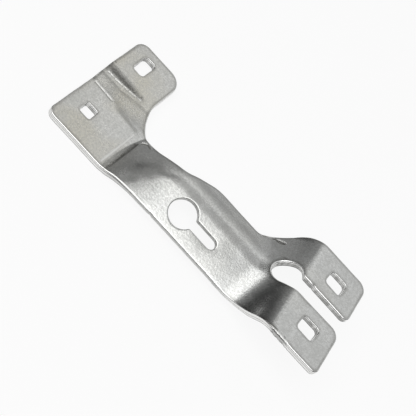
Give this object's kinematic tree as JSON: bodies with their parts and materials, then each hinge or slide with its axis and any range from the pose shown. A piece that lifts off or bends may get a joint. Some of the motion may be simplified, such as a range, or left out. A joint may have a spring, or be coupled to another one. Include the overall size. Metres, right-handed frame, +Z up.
{
  "type": "bumper bracket",
  "caption": "Formed sheet-steel bumper bracket: flat head plate with a raised side lobe, ridged body with a keyhole, and a raised two-tab fork.",
  "frame": {"origin": "centre of the head plate's square bolt hole, in the plane of the head plate's underside", "axes": "+X along the body from the head plate to the fork tabs, +Y across it towards the raised side lobe, +Z up from the seat, square to the head plate"},
  "size_m": [0.267, 0.1214, 0.0382],
  "materials": {
    "zinc_steel": "bright zinc plate"
  },
  "bodies": {
    "root": {"bracket": "zinc_steel"}
  },
  "joints": []
}
